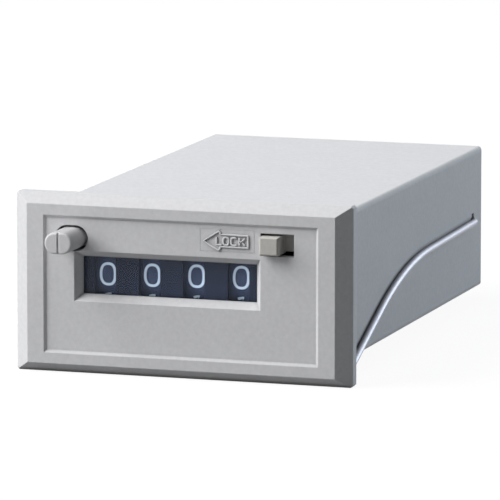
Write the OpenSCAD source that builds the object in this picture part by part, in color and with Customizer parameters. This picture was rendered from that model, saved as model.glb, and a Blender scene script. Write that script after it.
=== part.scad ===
// Panel counter: four figure electromagnetic totaliser with push reset and reset lock.
// Origin at the centre of the bezel's rear face. X to the right, Y to the back, Z up, in millimetres.

/* [Bezel] */
// Width of the bezel
bezel_w = 60; // [58:0.5:64]
// Height of the bezel
bezel_h = 30.9; // [30:0.1:33]
// Thickness of the square edge behind the bevel
flange_t = 1.9; // [1.5:0.1:2.5]
// Depth of the bevel in front of the flange
bevel_d = 2.2; // [1.8:0.1:2.6]
// Width of the bevel at the left and right
bevel_side = 2.55; // [2:0.05:3]
// Width of the bevel at the top and bottom
bevel_top = 1.7; // [1.4:0.05:2]
// Cut across the bezel's corners
bezel_corner = 0.4; // [0.2:0.1:0.6]

/* [Front panel] */
// Width of the recessed panel
recess_w = 48.5; // [48:0.1:49]
// Height of the recessed panel
recess_h = 23.3; // [23:0.1:23.6]
// Depth of the recess
recess_d = 0.4; // [0.2:0.05:0.5]
// Slope of the recess walls, measured across
recess_slope = 0.45; // [0.3:0.05:0.6]
// Thickness of the wall behind the recess
panel_t = 1.8; // [1.6:0.1:2]
// Width of the window at the wall's rear
window_w = 31; // [30:0.1:31.5]
// Height of the window at the wall's rear
window_h = 6.45; // [6:0.05:6.6]
// Slope of the window's edges, measured across
window_bevel = 1.1; // [0.8:0.1:1.3]
// Sideways place of the window's centre
window_x = -2.45; // [-2.6:0.05:-2.3]
// Height of the window's centre
window_z = 1.55; // [1.4:0.05:1.7]

/* [Reset button] */
// Width of the button
button_w = 4.9; // [4.6:0.1:5]
// Height of the button
button_h = 3.7; // [3.4:0.1:3.7]
// How far the button stands out of the recessed panel
button_out = 6.6; // [5:0.1:7]
// Gap above, below and on the left of the button in its hole
button_gap = 0.35; // [0.2:0.05:0.4]
// Travel of the button
button_travel = 2.5; // [1.5:0.1:2.5]

/* [Lock slider] */
// Length of the slot
slot_w = 5.9; // [5.6:0.1:6]
// Height of the slot
slot_h = 3.85; // [3.6:0.05:3.9]
// Width of the knob
knob_w = 3.3; // [3:0.1:3.7]
// Height of the knob
knob_h = 3.1; // [2.8:0.1:3.3]
// How far the knob stands out of the recessed panel
knob_out = 1.9; // [1.4:0.1:2.2]

/* [Housing] */
// Width of the housing
body_w = 52; // [51.6:0.1:52.2]
// Height of the housing
body_h = 25.6; // [25.4:0.1:25.8]
// Length of the housing behind the bezel
body_l = 92; // [91:0.5:96]
// Wall thickness of the housing
wall_t = 1.5; // [1.3:0.1:1.5]
// Radius of the housing's long edges
body_r = 0.9; // [0.8:0.1:1.2]

/* [Mounting spring] */
// Diameter of the spring wire
wire_d = 1.2; // [1:0.1:1.2]
// Height of the wire's hooked ends
hook_z = 0; // [-0.3:0.1:0.2]
// Radius of the bend where the wire turns down
wire_bend_r = 85; // [80:1:90]
// Angle of the sloping run
wire_slope = 22; // [21.5:0.1:22.5]

/* [Number wheels] */
// Radius of the drums
wheel_r = 9; // [8.8:0.1:9]
// Width of a drum's rim
wheel_w = 4.6; // [4.2:0.1:4.6]
// Distance from wheel to wheel
wheel_pitch = 7.95; // [7.9:0.05:8]
// Diameter of the wheel shaft
shaft_d = 2.5; // [2:0.1:2.5]
// Tooth size of the carry gears, pitch diameter over teeth
gear_module = 0.73; // [0.73:0.01:0.75]

/* [Electromagnet] */
// Diameter of the core
core_d = 7; // [6:0.1:7]
// Diameter of the winding
winding_d = 15.2; // [13:0.1:15.2]
// Length of the winding
winding_l = 30; // [24:1:30]

/* [Hidden] */
$fn = 48;
// Small clearance of parts that sit together
fit_gap = 0.05;
// Overshoot of cutting bodies
cut = 1;

front_y = -(flange_t + bevel_d);
face_w = bezel_w - 2 * bevel_side;
face_h = bezel_h - 2 * bevel_top;
panel_y = front_y + recess_d;
panel_back_y = panel_y + panel_t;
seat_d = 0.8;
cavity_w = body_w - 2 * wall_t - 0.4;
cavity_h = body_h - 2 * wall_t - 0.4;
inner_w = body_w - 2 * wall_t;
inner_h = body_h - 2 * wall_t;
floor_z = -inner_h / 2;

lens_land = 0.65;
lens_w = window_w + 2 * lens_land;
lens_h = window_h + 2 * lens_land;
lens_t = 1;
lens_rim_t = 0.5;
lens_back_y = panel_back_y + lens_t;
mask_t = 0.5;
mask_bar = 0.5;
mask_open_w = wheel_w - 0.8;

button_x = -19.65;
button_z = 8;
button_tip_y = panel_y - button_out;
button_groove = 0.35;
button_edge = 0.35;
button_slice = 0.05;
hole_extra = 0.3;
plate_t = 1;
plate_x = [-23.2, -16.6];
plate_z = [6.5, 10.4];
plate_leg_x = -19.7;
rod_x = -21.35;
rod_z = -3.3;
rod_r = 1.2;
rod_end_y = 17;

slot_x = 17.2;
slot_z = 8.5;
knob_x = slot_x - slot_w / 2 + 0.3 + knob_w / 2;
knob_edge = 0.2;
slide_plate_t = 0.85;
slide_plate_x = [slot_x - slot_w / 2 - 2.1, slot_x + slot_w / 2 + 0.6];
slide_plate_z = [7.3, 10.9];
pin_lock_r = 0.8;
lock_bar_t = 0.5;
lock_bar_x = [-16.2, knob_x + 2];
lock_bar_z = [7.2, 9.8];
lock_nose_w = 1.6;

axis_y = 9.3;
axis_z = window_z;
wheel_xs = [for (k = [0:3]) window_x + (k - 1.5) * wheel_pitch];
rim_t = 1.1;
gear_t = 0.9;
heart_t = 0.9;
hub_r = 2.1;
heart_peak = 3.6;
heart_valley = 2.2;
disc_r = 6.1;
gear_teeth = 20;
pinion_teeth = 8;
gear_pitch_r = gear_module * gear_teeth / 2;
pinion_pitch_r = gear_module * pinion_teeth / 2;
pinion_angle = -50;
pinion_y = axis_y + (gear_pitch_r + pinion_pitch_r) * cos(pinion_angle);
pinion_z = axis_z + (gear_pitch_r + pinion_pitch_r) * sin(pinion_angle);
pinion_shaft_r = 0.75;
hub_left = wheel_w / 2 + gear_t;
hub_right = wheel_pitch - hub_left - 0.1;
ratchet_teeth = 10;
ratchet_tip_r = 4.6;
ratchet_root_r = 3.6;

side_t = 1;
left_side_x = wheel_xs[0] - hub_left - 0.1 - side_t;
right_side_x = wheel_xs[3] + hub_right + 0.1;
base_t = 1.2;
base_top = floor_z + base_t;
base_front_y = 1;
base_back_y = 84;
side_front_y = 2;
side_back_y = 27;
side_top_z = 10.9;
reset_y = 19.3;
reset_z = 9.2;
reset_shaft_r = 1;
comb_hub_r = 1.7;
finger_w = 0.7;
finger_len = 10.6;
arm_x = [-22.2, -20.5];
spring_room = 6.35;
spring_tab_y = panel_back_y + fit_gap + plate_t + button_travel + spring_room;
spring_tab_w = 4.8;

coil_x = -2;
hinge_y = 34.9;
hinge_z = -8.2;
pin_r = 0.75;
knuckle_r = 1.5;
armature_t = 1.2;
armature_back_y = 35.5;
armature_x = [-9, 5];
core_front_y = 36.6;
flange_bobbin_t = 1;
bobbin_front_y = 38;
bobbin_back_y = bobbin_front_y + winding_l + 2 * flange_bobbin_t;
bobbin_w = 17;
bobbin_h = 15.8;
bobbin_tube_r = core_d / 2 + 0.7;
yoke_t = 2;
yoke_w = 14;
yoke_front_y = 36.9;
yoke_back_y = bobbin_back_y + yoke_t;
yoke_top_z = 8;
yoke_screw_ys = [42, 64];
yoke_screw_r = 1.3;
yoke_screw_depth = 1.4;
countersink_h = 0.8;
countersink_r = 2.5;
countersink_neck_r = 1.7;
post_y = 25;
post_x = -6;
post_w = 4;
post_t = 1.2;
spring_z = 4;
ear_t = 1.5;
ear_r = 1.6;
pallet_y = 16;
pallet_t = 0.8;

cover_front_y = body_l - 5.5;
cover_w = inner_w - 2 * fit_gap;
cover_h = inner_h - 2 * fit_gap;
cover_t = 1.5;
cover_back_t = 2;
snap_w = 12;
snap_y = [body_l - 2.7, body_l - 1.9];
snap_h = 0.3;
ledge_x = [-20, 13];
ledge_w = 7;
ledge_h = 0.7;
stop_x = [-10, 6];
stop_w = 4;
stop_h = 3;
bay_d = 3.5;
bay_w = 9.5;
bay_h = 8;
bay_z = 5.6;
bay_wall = 1.5;
terminal_xs = [-8, 8];
terminal_t = 0.8;
terminal_w = 7;
tail_w = 4;
tail_z = bay_z + 2.4;
tail_end_y = cover_front_y - 3;
screw_r = 1.45;
screw_head_r = 2.6;
screw_head_h = 1.8;
cross_w = 0.7;
cross_l = 3.4;
cross_d = 0.9;

x_axis = [1, 0, 0];
y_axis = [0, 1, 0];
z_axis = [0, 0, 1];
wire_r = wire_d / 2;
wire_x = body_w / 2 + wire_r + fit_gap;
hook_y = body_l - 6.45;
hook_hole_r = 1.1;
hook_end_x = body_w / 2 - 2.3;
hook_bend_r = 1.2;
slit_w = 1.3;
slit_top_z = hook_z + 1.35;
run_slope = 1.1;
turn_y = 55.45;
turn_z = hook_z - (hook_y - turn_y) * tan(run_slope);
bend_end_y = turn_y - wire_bend_r * (sin(wire_slope) - sin(run_slope));
bend_end_z = turn_z - wire_bend_r * (cos(run_slope) - cos(wire_slope));
foot_r = 10;
foot_z = -13.9;
foot_rise = foot_r * (1 - cos(wire_slope));
foot_y = bend_end_y - (bend_end_z - foot_z - foot_rise) / tan(wire_slope) - foot_r * sin(wire_slope);
cross_run_y = 3;
cross_bend_r = 1.5;
run_way = [0, cos(run_slope), sin(run_slope)];
// Right arm of the wire, from the cross run behind the panel back to its hooked end
wire_arm = concat(
    arc_points([wire_x - cross_bend_r, cross_run_y + cross_bend_r, foot_z],
               x_axis, y_axis, cross_bend_r, -90, 0, 6),
    arc_points([wire_x, foot_y, foot_z + foot_r], y_axis, z_axis, foot_r, -90, -90 + wire_slope, 5),
    arc_points([wire_x, turn_y + wire_bend_r * sin(run_slope), turn_z - wire_bend_r * cos(run_slope)],
               y_axis, z_axis, wire_bend_r, 90 + wire_slope, 90 + run_slope, 12),
    arc_points([wire_x - hook_bend_r, hook_y, hook_z] - hook_bend_r * run_way,
               x_axis, run_way, hook_bend_r, 0, 90, 6),
    [[hook_end_x, hook_y, hook_z]]
);

// Snap tabs of the bezel, as middle and flip: 0 under the roof, 1 above the floor
tabs = [[-9, 0], [4, 0], [-21.3, 1], [18.5, 1]];
tab_w = 3.5;
tab_t = 1;
tab_end_y = 5;
tab_gap = 0.2;
barb = 0.4;
barb_back = 1.2;
barb_l = 1.8;
rib_x = [-12, 6];
rib_w = 6;
rib_z = [floor_z + 0.3, floor_z + 1.1];

// Block between two limits on each axis
module block(x, y, z) {
    translate([x[0], y[0], z[0]]) cube([x[1] - x[0], y[1] - y[0], z[1] - z[0]]);
}

// Outline in X and Z, carried from y0 back to y1
module along_y(y0, y1) {
    translate([0, y1, 0]) rotate([90, 0, 0]) linear_extrude(y1 - y0) children();
}

// Outline in Y and Z, carried from x0 right to x1
module along_x(x0, x1) {
    translate([x0, 0, 0]) rotate([90, 0, 90]) linear_extrude(x1 - x0) children();
}

// Round bar from x0 to x1 at a place in Y and Z
module bar_x(x0, x1, y, z, r) {
    translate([x0, y, z]) rotate([0, 90, 0]) cylinder(h = x1 - x0, r = r);
}

// Round bar from y0 to y1 at a place in X and Z
module bar_y(y0, y1, x, z, r) {
    translate([x, y0, z]) rotate([-90, 0, 0]) cylinder(h = y1 - y0, r = r);
}

module rounded_rect(w, h, r) {
    square([w - 2 * r, h], center = true);
    square([w, h - 2 * r], center = true);
    for (sx = [-1, 1], sz = [-1, 1])
        translate([sx * (w / 2 - r), sz * (h / 2 - r)]) circle(r);
}

// Rectangle with its corners cut at 45 degrees
module cut_rect(w, h, c) {
    polygon([
        for (p = [[1, 1], [-1, 1], [-1, -1], [1, -1]], k = [0, 1])
            let (first = (p[0] * p[1] > 0) == (k == 0))
            [p[0] * (w / 2 - (first ? 0 : c)), p[1] * (h / 2 - (first ? c : 0))]
    ]);
}

// Oblong with round ends, longer in X
module oblong(w, h) {
    square([w - h, h], center = true);
    for (sx = [-1, 1]) translate([sx * (w - h) / 2, 0]) circle(h / 2);
}

// Four sided taper from a rear rectangle to a front rectangle, each with its place in Y
module taper(rear, front, rear_y, front_y) {
    intersection() {
        translate([0, 0, -rear[1]]) linear_extrude(2 * rear[1])
            polygon([[-rear[0] / 2, rear_y], [rear[0] / 2, rear_y],
                     [front[0] / 2, front_y], [-front[0] / 2, front_y]]);
        along_x(-rear[0], rear[0])
            polygon([[rear_y, -rear[1] / 2], [rear_y, rear[1] / 2],
                     [front_y, front[1] / 2], [front_y, -front[1] / 2]]);
    }
}

// Toothed outline with straight sided teeth, the first tooth at angle a0
function tooth_points(n, root_r, tip_r, root_half, tip_half, a0) = [
    for (i = [0:n - 1], corner = [[root_r, -root_half], [tip_r, -tip_half],
                                  [tip_r, tip_half], [root_r, root_half]])
        let (a = a0 + 360 * i / n + corner[1])
        [corner[0] * cos(a), corner[0] * sin(a)]
];

function unit(v) = v / norm(v);

// Points on an arc about a centre, in the plane of two unit vectors
function arc_points(centre, u, v, r, from, to, steps) = [
    for (i = [0:steps])
        let (a = from + (to - from) * i / steps)
        centre + r * (cos(a) * u + sin(a) * v)
];

function tangents(path) = [
    for (i = [0:len(path) - 1]) unit(path[min(i + 1, len(path) - 1)] - path[max(i - 1, 0)])
];

// Normals carried along a path without twist, beginning with the given one
function carried_normals(t, first) = [
    for (i = 0, n = unit(first - (first * t[0]) * t[0]); i < len(t);
         i = i + 1, n = i < len(t) ? unit(n - (n * t[i]) * t[i]) : n) n
];

// Round wire swept along a path
module swept_wire(path, r, sides, first_normal) {
    t = tangents(path);
    n = carried_normals(t, first_normal);
    last = len(path) - 1;
    points = [
        for (i = [0:last], j = [0:sides - 1])
            let (u = 360 * j / sides)
            path[i] + r * (cos(u) * n[i] + sin(u) * cross(t[i], n[i]))
    ];
    walls = [
        for (i = [0:last - 1], j = [0:sides - 1])
            let (a = i * sides + j, b = i * sides + (j + 1) % sides)
            [a, a + sides, b + sides, b]
    ];
    ends = [[for (j = [0:sides - 1]) j], [for (j = [sides - 1:-1:0]) last * sides + j]];
    polyhedron(points, concat(ends, walls));
}

// Coil spring along Z, from its seat up to its length
module coil_spring(r, wire_r, length, turns) {
    steps = 14 * turns;
    rise = length - 2 * wire_r;
    helix = [
        for (i = [0:steps])
            let (a = 360 * turns * i / steps)
            [r * cos(a), r * sin(a), wire_r + rise * i / steps]
    ];
    swept_wire(helix, wire_r * 0.95, 8, [1, 0, 0]);
}

// Front moulding: bevelled plate, recessed panel, window, button hole, slot and inner ribs
module front_bezel() {
    color("gainsboro") {
        difference() {
            union() {
                along_y(-flange_t, 0) cut_rect(bezel_w, bezel_h, bezel_corner);
                intersection() {
                    taper([bezel_w, bezel_h], [face_w, face_h], -flange_t, front_y);
                    along_y(front_y, 0) cut_rect(bezel_w, bezel_h, bezel_corner);
                }
            }
            recess_cut();
            window_cut();
            translate([button_x + hole_extra / 2, 0, button_z]) along_y(front_y - cut, cut)
                oblong(button_w + 2 * button_gap + hole_extra, button_h + 2 * button_gap);
            translate([slot_x, 0, slot_z]) along_y(front_y - cut, cut)
                square([slot_w, slot_h], center = true);
            along_y(-seat_d, cut) rounded_rect(body_w + 2 * fit_gap, body_h + 2 * fit_gap, body_r);
            along_y(panel_back_y, cut) rounded_rect(cavity_w, cavity_h, body_r);
        }
        lens_rim();
        bezel_tabs();
        for (x = rib_x) block([x, x + rib_w], [panel_back_y, base_front_y], rib_z);
    }
}

// Shallow recess of the front with sloping walls
module recess_cut() {
    wide = [recess_w + recess_slope, recess_h + recess_slope];
    taper([recess_w - recess_slope, recess_h - recess_slope], wide, panel_y, front_y);
    along_y(front_y - cut, front_y) square(wide, center = true);
}

// Sloping well of the window
module window_cut() {
    wide = [window_w + 2 * window_bevel, window_h + 2 * window_bevel];
    translate([window_x, 0, window_z]) {
        taper([window_w, window_h], wide, panel_back_y, panel_y);
        along_y(front_y - cut, panel_y) square(wide, center = true);
        along_y(panel_back_y, cut) square([window_w, window_h], center = true);
    }
}

// Rim on the rear of the panel that locates the lens
module lens_rim() {
    translate([window_x, 0, window_z]) along_y(panel_back_y, lens_back_y + 0.2) difference() {
        square([lens_w + 2 * (fit_gap + lens_rim_t), lens_h + 2 * (fit_gap + lens_rim_t)], center = true);
        square([lens_w + 2 * fit_gap, lens_h + 2 * fit_gap], center = true);
    }
}

// Snap tabs that reach into the housing and catch in its roof and floor
module bezel_tabs() {
    top = inner_h / 2 - tab_gap;
    for (tab = tabs) mirror([0, 0, tab[1]]) along_x(tab[0] - tab_w / 2, tab[0] + tab_w / 2)
        polygon([[panel_back_y, top - tab_t], [tab_end_y, top - tab_t], [tab_end_y, top],
                 [tab_end_y - barb_back, top + barb], [tab_end_y - barb_l, top + barb],
                 [tab_end_y - barb_l, top], [panel_back_y, top]]);
}

module window_lens() {
    color("lightcyan", 0.4) translate([window_x, 0, window_z])
        along_y(panel_back_y, lens_back_y) square([lens_w, lens_h], center = true);
}

// Dark plate behind the lens with one opening for each wheel
module figure_mask() {
    y0 = lens_back_y + fit_gap;
    color("midnightblue") translate([0, 0, window_z]) along_y(y0, y0 + mask_t) difference() {
        translate([window_x, 0]) square([lens_w, lens_h], center = true);
        for (x = wheel_xs) translate([x, 0]) square([mask_open_w, lens_h - 2 * mask_bar], center = true);
    }
}

// Oval push button with a groove across its end, a stop plate and a push rod
module reset_button() {
    color("lightgray") {
        difference() {
            translate([button_x, 0, button_z]) union() {
                along_y(button_tip_y + button_edge, panel_back_y + fit_gap + plate_t)
                    oblong(button_w, button_h);
                button_end();
            }
            block([button_x - button_groove / 2, button_x + button_groove / 2],
                  [button_tip_y - cut, button_tip_y + button_groove],
                  [button_z - button_h, button_z + button_h]);
        }
        button_plate();
        bar_y(panel_back_y + fit_gap, rod_end_y, rod_x, rod_z, rod_r);
    }
}

// Front of the button with its edge rounded in three flat steps
module button_end() {
    hull() for (angle = [0:30:90]) {
        y = button_tip_y + button_edge * (1 - cos(angle));
        inset = button_edge * (1 - sin(angle));
        along_y(y, y + button_slice) oblong(button_w - 2 * inset, button_h - 2 * inset);
    }
}

// Stop plate behind the panel, with a leg down to the push rod
module button_plate() {
    stop_y = panel_back_y + fit_gap;
    block(plate_x, [stop_y, stop_y + plate_t], plate_z);
    block([plate_x[0], plate_leg_x], [stop_y, stop_y + plate_t], [rod_z - 2, plate_z[0] + 0.5]);
}

module reset_spring() {
    y0 = panel_back_y + fit_gap + plate_t;
    color("silver") translate([rod_x, y0, rod_z]) rotate([-90, 0, 0])
        coil_spring(1.55, 0.2, spring_tab_y - y0, 6);
}

// Knob with cut front edges on a plate that slides behind the panel
module lock_slider() {
    front = panel_y - knob_out;
    plate_y = panel_back_y + fit_gap;
    color("antiquewhite") {
        translate([knob_x, 0, slot_z]) {
            along_y(front + knob_edge, plate_y + slide_plate_t) square([knob_w, knob_h], center = true);
            taper([knob_w, knob_h], [knob_w - 2 * knob_edge, knob_h - 2 * knob_edge],
                  front + knob_edge, front);
        }
        block(slide_plate_x, [plate_y, plate_y + slide_plate_t], slide_plate_z);
        bar_y(plate_y, plate_y + slide_plate_t + lock_bar_t, knob_x, slot_z, pin_lock_r);
    }
}

// Steel strip from the slider across to the button's stop plate
module lock_bar() {
    y0 = panel_back_y + fit_gap + slide_plate_t;
    color("silver") difference() {
        union() {
            block(lock_bar_x, [y0, y0 + lock_bar_t], lock_bar_z);
            block([lock_bar_x[0], lock_bar_x[0] + lock_nose_w], [y0 - 0.4, y0 + lock_bar_t], lock_bar_z);
        }
        bar_y(y0 - cut, y0 + cut, knob_x, slot_z, pin_lock_r);
    }
}

// Long case, open in front and at the rear, with a keyhole for the wire near the rear of each side
module housing() {
    color("gainsboro") {
        difference() {
            along_y(-seat_d, body_l) rounded_rect(body_w, body_h, body_r);
            along_y(-seat_d - cut, body_l + cut) square([inner_w, inner_h], center = true);
            bar_x(-body_w, body_w, hook_y, hook_z, hook_hole_r);
            block([-body_w, body_w], [hook_y - slit_w / 2, hook_y + slit_w / 2], [hook_z, slit_top_z]);
            for (tab = tabs) mirror([0, 0, tab[1]])
                block([tab[0] - tab_w / 2 - tab_gap, tab[0] + tab_w / 2 + tab_gap],
                      [tab_end_y - barb_l, tab_end_y], [inner_h / 2 - cut, inner_h / 2 + barb - 0.1]);
            for (flip = [0, 1]) mirror([0, 0, flip])
                block([-snap_w / 2 - fit_gap, snap_w / 2 + fit_gap],
                      [snap_y[0] - fit_gap, snap_y[1] + fit_gap],
                      [inner_h / 2 - cut, inner_h / 2 + snap_h]);
            housing_end_rounds();
        }
        for (x = ledge_x, flip = [0, 1]) mirror([0, 0, flip])
            block([x, x + ledge_w], [cover_front_y - 2 * ledge_h, cover_front_y],
                  [inner_h / 2 - ledge_h, inner_h / 2 + 0.2]);
    }
}

// Rounding of the upright edges at the rear corners
module housing_end_rounds() {
    r = body_r;
    for (flip = [0, 1]) mirror([flip, 0, 0])
        translate([body_w / 2 - r, body_l - r, -body_h]) linear_extrude(2 * body_h) difference() {
            square(r + cut);
            circle(r);
        }
}

// Plug that closes the rear, with two terminal bays and room for the wire's hooked ends
module rear_cover() {
    color("lightgray") difference() {
        union() {
            difference() {
                along_y(cover_front_y, body_l) square([cover_w, cover_h], center = true);
                along_y(cover_front_y - cut, body_l - cover_back_t)
                    square([cover_w - 2 * cover_t, cover_h - 2 * cover_t], center = true);
            }
            for (x = terminal_xs)
                block([x - bay_w / 2 - bay_wall, x + bay_w / 2 + bay_wall], [cover_front_y, body_l],
                      [bay_z - bay_h / 2 - bay_wall, cover_h / 2]);
            for (flip = [0, 1]) mirror([0, 0, flip])
                block([-snap_w / 2, snap_w / 2], snap_y, [cover_h / 2 - cut, cover_h / 2 + snap_h]);
            for (x = stop_x)
                block([x, x + stop_w], [base_back_y, cover_front_y + 0.5],
                      [floor_z + 0.1, floor_z + stop_h]);
        }
        for (flip = [0, 1]) mirror([flip, 0, 0])
            block([hook_end_x - cut, body_w], [cover_front_y - cut, hook_y + hook_hole_r + 0.2],
                  [hook_z - hook_hole_r - 0.2, slit_top_z + 0.2]);
        for (x = terminal_xs) {
            block([x - bay_w / 2, x + bay_w / 2], [body_l - bay_d, body_l + cut],
                  [bay_z - bay_h / 2, bay_z + bay_h / 2]);
            bar_y(cover_front_y - cut, body_l, x, bay_z, screw_r + fit_gap);
            block([x - tail_w / 2 - fit_gap, x + tail_w / 2 + fit_gap], [cover_front_y - cut, body_l],
                  [tail_z - fit_gap, tail_z + terminal_t + fit_gap]);
        }
    }
}

// Wire hooked into both sides near the rear, with its cross run under the housing behind the bezel
module mounting_spring() {
    left_arm = [for (i = [len(wire_arm) - 1:-1:0]) [-wire_arm[i][0], wire_arm[i][1], wire_arm[i][2]]];
    color("lightsteelblue") swept_wire(concat(left_arm, wire_arm), wire_r, 16, z_axis);
}

// Two brass plates on the bay floors with tails into the case
module terminal_plates() {
    y0 = body_l - bay_d;
    color("goldenrod") for (x = terminal_xs) difference() {
        union() {
            block([x - terminal_w / 2, x + terminal_w / 2], [y0, y0 + terminal_t],
                  [bay_z - 3, tail_z + terminal_t]);
            block([x - tail_w / 2, x + tail_w / 2], [tail_end_y, y0 + terminal_t],
                  [tail_z, tail_z + terminal_t]);
        }
        bar_y(y0 - cut, y0 + cut, x, bay_z, screw_r + fit_gap);
    }
}

module terminal_screws() {
    y0 = body_l - bay_d + terminal_t;
    color("silver") for (x = terminal_xs) difference() {
        union() {
            bar_y(y0, y0 + screw_head_h, x, bay_z, screw_head_r);
            bar_y(cover_front_y - 1.5, y0, x, bay_z, screw_r);
        }
        for (a = [0, 90]) translate([x, 0, bay_z]) rotate([0, a, 0])
            block([-cross_l / 2, cross_l / 2], [y0 + screw_head_h - cross_d, y0 + screw_head_h + cut],
                  [-cross_w / 2, cross_w / 2]);
    }
}

// Base and side plates that carry the shafts, the spring post and the armature's ears
module mechanism_frame() {
    color("dimgray") difference() {
        union() {
            block([left_side_x, right_side_x + side_t], [base_front_y, base_back_y], [floor_z, base_top]);
            frame_side(left_side_x);
            frame_side(right_side_x);
            block([left_side_x - spring_tab_w, left_side_x + 0.5], [spring_tab_y, spring_tab_y + 1],
                  [rod_z - 2, rod_z + 2]);
            block([left_side_x, right_side_x], [post_y, post_y + post_t], [base_top - 0.5, -5]);
            block([post_x - post_w / 2, post_x + post_w / 2], [post_y, post_y + post_t],
                  [-6, spring_z + 2]);
            for (x = [armature_x[0] - ear_t - 0.1, armature_x[1] + 0.1]) armature_ear(x);
        }
        bar_y(spring_tab_y - cut, spring_tab_y + 2, rod_x, rod_z, rod_r + 0.1);
        frame_bores();
        for (y = yoke_screw_ys) {
            translate([coil_x, y, floor_z - cut])
                cylinder(h = base_t + 2 * cut, r = yoke_screw_r + fit_gap);
            translate([coil_x, y, floor_z])
                cylinder(h = countersink_h, r1 = countersink_r, r2 = countersink_neck_r);
        }
    }
}

module frame_side(x) {
    along_x(x, x + side_t) difference() {
        polygon([[side_front_y, base_top - 0.5], [side_back_y, base_top - 0.5], [side_back_y, 6],
                 [side_back_y - 4, side_top_z], [14, side_top_z], [side_front_y, 4]]);
        translate([21, 1]) circle(3.5);
    }
}

module frame_bores() {
    for (x = [left_side_x, right_side_x]) {
        bar_x(x - cut, x + side_t + cut, axis_y, axis_z, shaft_d / 2);
        bar_x(x - cut, x + side_t + cut, pinion_y, pinion_z, pinion_shaft_r);
        bar_x(x - cut, x + side_t + cut, reset_y, reset_z, reset_shaft_r + fit_gap);
    }
    bar_x(armature_x[0] - 3, armature_x[1] + 3, hinge_y, hinge_z, pin_r);
}

module armature_ear(x) {
    along_x(x, x + ear_t) union() {
        translate([hinge_y, hinge_z]) circle(ear_r);
        translate([hinge_y - ear_r, base_top - 0.5]) square([2 * ear_r, hinge_z - base_top + 0.5]);
    }
}

// Plain shaft through both side plates with a head at each end
module cross_shaft(y, z, r) {
    head = 0.6;
    bar_x(left_side_x, right_side_x + side_t, y, z, r);
    bar_x(left_side_x - head, left_side_x, y, z, r + 0.4);
    bar_x(right_side_x + side_t, right_side_x + side_t + head, y, z, r + 0.4);
}

module wheel_shaft() {
    color("silver") cross_shaft(axis_y, axis_z, shaft_d / 2);
}

module pinion_shaft() {
    color("silver") cross_shaft(pinion_y, pinion_z, pinion_shaft_r);
}

// Shaft that turns in the side plates and carries the comb and the arm
module reset_shaft() {
    right = right_side_x + side_t + 0.1;
    color("silver") {
        bar_x(arm_x[0], right, reset_y, reset_z, reset_shaft_r);
        bar_x(arm_x[0] - 0.5, arm_x[0], reset_y, reset_z, reset_shaft_r + 0.4);
        bar_x(right, right + 0.6, reset_y, reset_z, reset_shaft_r + 0.4);
    }
}

// Drum, web and hub, with a carry disc on the left, a heart cam and teeth on the right
module number_wheel(x, has_disc, teeth_kind, hub_end) {
    half = wheel_w / 2;
    color("midnightblue") translate([x, axis_y, axis_z]) difference() {
        union() {
            along_x(-half, half) difference() {
                circle(wheel_r);
                circle(wheel_r - rim_t);
            }
            along_x(half - 1.2, half) circle(wheel_r - rim_t / 2);
            along_x(-hub_left, hub_end) circle(hub_r);
            if (has_disc) along_x(-hub_left, -half) carry_disc();
            if (has_disc) along_x(-half, half - 1) circle(disc_r - 1.5);
            along_x(half, half + gear_t) wheel_teeth(teeth_kind);
            along_x(half + gear_t, half + gear_t + heart_t) heart_cam();
        }
        bar_x(-hub_left - cut, hub_end + cut, 0, 0, shaft_d / 2 + fit_gap);
    }
}

// Teeth on the right of a wheel, carry gear or ratchet
module wheel_teeth(kind) {
    if (kind == "gear")
        polygon(tooth_points(gear_teeth, gear_pitch_r - 0.9, gear_pitch_r + 0.5, 5.4, 1.8,
                             pinion_angle + 180 / gear_teeth));
    else
        polygon([for (i = [0:ratchet_teeth - 1], far = [0, 1])
            let (a = 360 * (i + 0.15 * far) / ratchet_teeth, r = far == 1 ? ratchet_tip_r : ratchet_root_r)
            [r * cos(a), r * sin(a)]]);
}

// Locking disc with one notch between two short carry teeth
module carry_disc() {
    difference() {
        union() {
            circle(disc_r);
            for (a = [-14, 14]) rotate(pinion_angle + 90 + a)
                translate([disc_r - 0.5, -0.35]) square([0.85, 0.7]);
        }
        rotate(pinion_angle + 90) translate([disc_r, 0]) circle(0.8);
    }
}

// Heart outline whose valley faces up when the wheel shows zero
module heart_cam() {
    steps = 15;
    grow = (heart_peak - heart_valley) / 180;
    polygon([for (s = [0, 1], i = [0:steps - 1])
        let (t = 180 * (s + i / steps), r = heart_valley + grow * (t > 180 ? 360 - t : t))
        [r * cos(90 + t), r * sin(90 + t)]]);
}

module number_wheel_thousands() {
    number_wheel(wheel_xs[0], false, "gear", hub_right);
}

module number_wheel_hundreds() {
    number_wheel(wheel_xs[1], true, "gear", hub_right);
}

module number_wheel_tens() {
    number_wheel(wheel_xs[2], true, "gear", hub_right);
}

module number_wheel_units() {
    number_wheel(wheel_xs[3], true, "ratchet", hub_right);
}

// Eight tooth pinion that bridges the gap on the right of a wheel
module transfer_pinion(x) {
    left = x + wheel_w / 2 + 0.05;
    right = x + wheel_pitch - wheel_w / 2 - 0.1;
    color("ivory") translate([0, pinion_y, pinion_z]) difference() {
        along_x(left, right) polygon(tooth_points(pinion_teeth, pinion_pitch_r - 0.75, pinion_pitch_r + 0.5,
                                                  12, 4, pinion_angle + 180));
        bar_x(left - cut, right + cut, 0, 0, pinion_shaft_r + fit_gap);
    }
}

module transfer_pinion_thousands() {
    transfer_pinion(wheel_xs[0]);
}

module transfer_pinion_hundreds() {
    transfer_pinion(wheel_xs[1]);
}

module transfer_pinion_tens() {
    transfer_pinion(wheel_xs[2]);
}

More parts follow.
